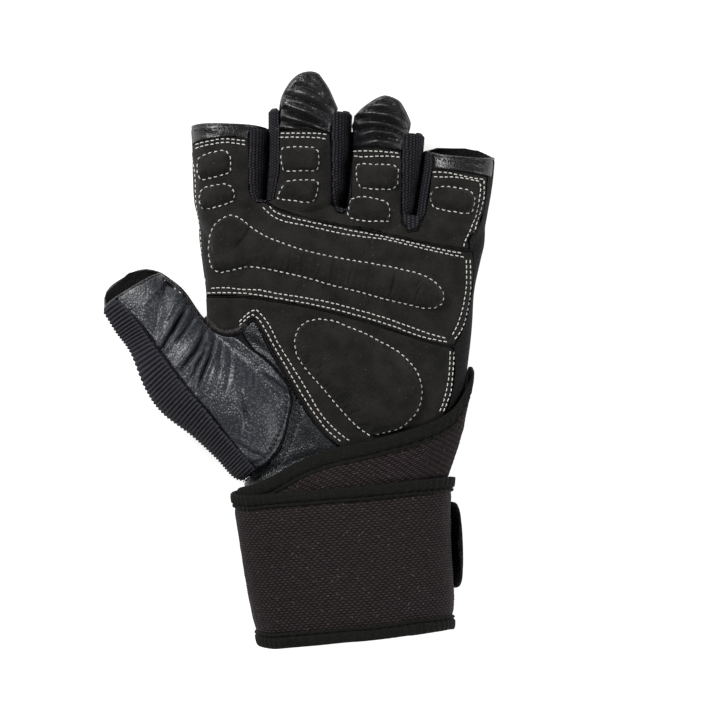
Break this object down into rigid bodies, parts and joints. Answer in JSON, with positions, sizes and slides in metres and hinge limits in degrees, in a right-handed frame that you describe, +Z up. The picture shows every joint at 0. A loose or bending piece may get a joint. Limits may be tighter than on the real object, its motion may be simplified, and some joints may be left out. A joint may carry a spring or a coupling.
{
  "type": "weightlifting glove",
  "caption": "Half-fingered training glove for the left hand, palm up, with padded suede palm, leather thumb, pull tabs and a woven wrist wrap.",
  "frame": {"origin": "middle of the bounding box, on the surface that the glove's back lies on", "axes": "+X towards the little finger, +Y along the fingers, +Z up out of the palm"},
  "size_m": [0.1495, 0.2191, 0.0458],
  "materials": {
    "suede": "matt napped suede",
    "pad_suede": "matt napped suede over foam",
    "leather": "soft grained leather, low sheen",
    "knit": "ribbed knit, matt",
    "back_knit": "stretch knit, matt",
    "webbing": "coarse woven elastic, matt",
    "tape": "folded binding tape, matt"
  },
  "bodies": {
    "root": {"middle_pull_tab": "leather", "ring_pull_tab": "leather", "upper_palm_panel": "suede", "finger_panel": "suede", "lower_palm_panel": "suede", "index_tip_band": "leather", "little_tip_band": "leather", "thumb_panel": "leather", "thumb_gusset": "leather", "thumb_knit_strip": "knit", "fourchette_index_middle": "knit", "fourchette_middle_ring": "knit", "fourchette_ring_little": "knit", "thumb_back": "back_knit", "wrist_lining": "back_knit", "back_panel": "back_knit", "palm_bar_pad": "pad_suede", "palm_heel_pad": "pad_suede", "index_pad_upper": "pad_suede", "index_pad_lower": "pad_suede", "middle_pad_upper": "pad_suede", "middle_pad_lower": "pad_suede", "ring_pad_upper": "pad_suede", "ring_pad_lower": "pad_suede", "little_pad": "pad_suede", "wrist_strap": "webbing", "strap_upper_binding": "tape", "strap_lower_binding": "tape", "closing_tab": "tape"}
  },
  "joints": []
}
